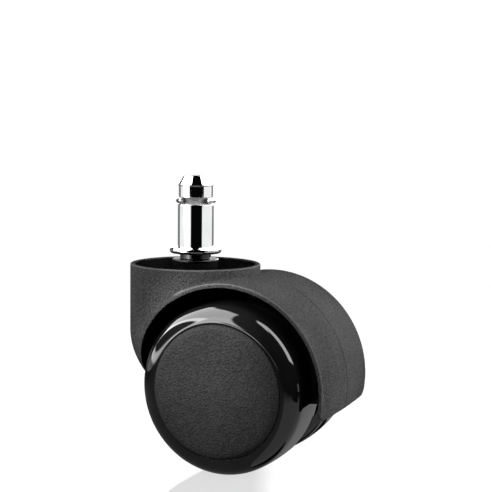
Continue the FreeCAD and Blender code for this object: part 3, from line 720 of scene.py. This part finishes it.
def above(v, edge, soft):
    m = wt.nodes.new("ShaderNodeMapRange")
    m.interpolation_type = "SMOOTHSTEP"
    m.inputs["From Min"].default_value = edge - soft
    m.inputs["From Max"].default_value = edge + soft
    wt.links.new(v, m.inputs["Value"])
    return m.outputs["Result"]


def below(v, edge, soft):
    return maths(wt, "SUBTRACT", 1.0, above(v, edge, soft))


def both(*vs):
    r = vs[0]
    for v in vs[1:]:
        r = maths(wt, "MULTIPLY", r, v)
    return r


def lean(v, other, k, at=0.0):
    """v + k (other - at)"""
    return maths(wt, "ADD", v, maths(wt, "MULTIPLY", maths(wt, "SUBTRACT", other, at), k))


def plus(*vs):
    r = vs[0]
    for v in vs[1:]:
        r = maths(wt, "ADD", r, v)
    return r


qa = maths(wt, "DIVIDE", maths(wt, "ADD", AZ_W, 118.0), 31.0)
qe = maths(wt, "DIVIDE", maths(wt, "SUBTRACT", EL_W, 3.0), 22.0)
Q = maths(wt, "ADD", maths(wt, "MULTIPLY", qa, qa), maths(wt, "MULTIPLY", qe, qe))
no_head = maths(wt, "SUBTRACT", 1.0, both(below(AZ_W, -157, 0.7), above(EL_W, -3.5, 0.3), below(EL_W, 1.5, 0.7)))
box_left = both(no_head, above(AZ_W, -163, 1.5), below(AZ_W, -47, 3), below(EL_W, 74, 4), below(lean(EL_W, AZ_W, 0.35, -110), 74, 3),
                above(Q, 1.0, 0.08), above(lean(EL_W, AZ_W, -0.55, -88), 18, 2), above(EL_W, -5.9, 0.15))
left_edge = both(above(AZ_W, -150, 1.5), below(AZ_W, -88, 2), above(Q, 1.0, 0.08), below(Q, 1.6, 0.15), above(EL_W, 2, 3))
left_col = both(no_head, above(AZ_W, -163, 1.5), below(AZ_W, -149, 1.5), above(EL_W, -5.9, 0.15), below(EL_W, 30, 4))
low_line = both(above(AZ_W, -152, 2), below(AZ_W, -88, 3), above(lean(EL_W, AZ_W, -0.19, -148), -8.5, 1), below(lean(EL_W, AZ_W, -0.19, -148), -3.5, 1))
box_right = both(above(lean(AZ_W, EL_W, -0.5, 25), -11, 2), below(AZ_W, 97, 3), above(lean(EL_W, AZ_W, -0.25, 22), 7, 1.5), below(EL_W, 63, 5))
box_top = both(above(AZ_W, 60, 4), below(AZ_W, 112, 4), above(EL_W, 60, 3), below(EL_W, 75, 2))
right_edge = both(above(AZ_W, 0, 4), below(AZ_W, 34, 6), above(EL_W, 22, 2), below(EL_W, 36, 3))
strip_l = both(above(AZ_W, -173.5, 0.7), below(AZ_W, -85, 2), above(EL_W, -5.9, 0.15), below(EL_W, -3.5, 0.3))
strip_l2 = both(above(AZ_W, -157, 0.7), below(AZ_W, -85, 2), above(EL_W, -3.5, 0.3), below(EL_W, 1.5, 0.7))
strip_r = both(above(AZ_W, 26, 2), below(AZ_W, 114, 0.7), above(EL_W, -5.9, 0.15), below(EL_W, -3.5, 0.3))
strip_r2 = both(above(AZ_W, 26, 2), below(AZ_W, 100, 0.7), above(EL_W, -3.5, 0.3), below(EL_W, 1.5, 0.7))
edge_l = both(above(AZ_W, -88, 2), below(AZ_W, -50, 4), above(EL_W, -5.9, 0.15), below(EL_W, 1.5, 0.7))
edge_r = both(above(AZ_W, -10, 4), below(AZ_W, 26, 2), above(EL_W, -5.9, 0.15), below(EL_W, 1.5, 0.7))
behind = both(above(AZ_W, -48, 4), below(AZ_W, 2, 4), above(EL_W, 2, 2), below(EL_W, 21, 2))
steep = maths(wt, "SUBTRACT", 1.0, both(above(AZ_W, -20, 6), below(AZ_W, 75, 6), below(EL_W, -53, 2)))
ground_r = both(steep, above(AZ_W, 5, 25), below(EL_W, -12, 4))
ground_l = both(below(AZ_W, 5, 25), below(EL_W, -12, 4))
total = plus(maths(wt, "MULTIPLY", box_left, 7.8), maths(wt, "MULTIPLY", left_edge, 8.0), maths(wt, "MULTIPLY", left_col, 1.0),
             maths(wt, "MULTIPLY", low_line, 6.5), maths(wt, "MULTIPLY", maths(wt, "MAXIMUM", box_right, box_top), 8.0), maths(wt, "MULTIPLY", right_edge, 4.0),
             maths(wt, "MULTIPLY", plus(strip_l, strip_l2, strip_r, strip_r2), 1.15), maths(wt, "MULTIPLY", behind, 1.6),
             maths(wt, "MULTIPLY", edge_l, 0.3), maths(wt, "MULTIPLY", edge_r, 0.22),
             maths(wt, "MULTIPLY", ground_r, 0.62), maths(wt, "MULTIPLY", ground_l, 0.2))
total = maths(wt, "ADD", total, 0.002)
wo = wt.nodes.new("ShaderNodeOutputWorld")
lp = wt.nodes.new("ShaderNodeLightPath")
mixs = wt.nodes.new("ShaderNodeMixShader")
bg_dim = wt.nodes.new("ShaderNodeBackground")
bg_dim.inputs["Color"].default_value = (1, 1, 1, 1)
# the matt parts are lit by the soft lights below, so matt rays meet a plain dim grey
bg_cam = wt.nodes.new("ShaderNodeBackground")
bg_cam.inputs["Color"].default_value = (1, 1, 1, 1)
bg_cam.inputs["Strength"].default_value = 1.0
lit = plus(maths(wt, "MULTIPLY", total, lp.outputs["Is Glossy Ray"]),
           maths(wt, "MULTIPLY", maths(wt, "SUBTRACT", 1.0, lp.outputs["Is Glossy Ray"]), 0.25))
wt.links.new(lp.outputs["Is Camera Ray"], mixs.inputs["Fac"])
wt.links.new(lit, bg_dim.inputs["Strength"])
wt.links.new(bg_dim.outputs["Background"], mixs.inputs[1])
wt.links.new(bg_cam.outputs["Background"], mixs.inputs[2])
wt.links.new(mixs.outputs["Shader"], wo.inputs["Surface"])

# soft lights for the matt parts: low from both sides, overhead, and one small spot that brightens the near cap towards its top
def sun(name, az, el, strength, angle):
    lamp = bpy.data.lights.new(name, "SUN")
    lamp.energy = strength
    lamp.angle = math.radians(angle)
    o = bpy.data.objects.new(name, lamp)
    scene.collection.objects.link(o)
    a, e = math.radians(az), math.radians(el)
    d = Vector((math.sin(a) * math.cos(e), math.cos(a) * math.cos(e), math.sin(e)))
    o.location = d * 0.3
    o.rotation_euler = (-d).to_track_quat("-Z", "Y").to_euler()
    o.visible_glossy = False
    o.visible_camera = False
    return o


sun("soft_right", 66, 9, 14.6, 50)
sun("soft_left", -120, 8, 7.6, 50)
sun("soft_top", 20, 84, 5.2, 60)
sun("soft_front", -160, 62, 3.0, 50)
spot = bpy.data.lights.new("cap_spot", "SPOT")
spot.energy = 4.2
spot.spot_size = math.radians(27)
spot.spot_blend = 1.0
spot.shadow_soft_size = 0.006
spot_o = bpy.data.objects.new("cap_spot", spot)
scene.collection.objects.link(spot_o)
spot_o.location = Vector((0.0, -110.0, 46.0)) * MM
aim = (Vector((13.0, -26.0, -25.0)) * MM - spot_o.location).normalized()
spot_o.rotation_euler = aim.to_track_quat("-Z", "Y").to_euler()
spot_o.visible_glossy = False
spot_o.visible_camera = False

# camera
C = Vector((154.8656, -325.1636, 35.6095)) * MM
yaw, pitch, roll = 0.4019, 0.0976, 0.0110
fw = Vector((-math.sin(yaw) * math.cos(pitch), math.cos(yaw) * math.cos(pitch), -math.sin(pitch)))
rt = Vector((math.cos(yaw), math.sin(yaw), 0))
up = rt.cross(fw)
rt, up = math.cos(roll) * rt + math.sin(roll) * up, -math.sin(roll) * rt + math.cos(roll) * up
cam_data = bpy.data.cameras.new("camera")
cam_data.lens = 1175.886 * 36.0 / 492.0
cam_data.sensor_width = 36.0
cam_data.clip_start, cam_data.clip_end = 0.01, 50
cam = bpy.data.objects.new("camera", cam_data)
scene.collection.objects.link(cam)
cam.matrix_world = Matrix(((rt.x, up.x, -fw.x, C.x), (rt.y, up.y, -fw.y, C.y), (rt.z, up.z, -fw.z, C.z), (0, 0, 0, 1)))
scene.camera = cam
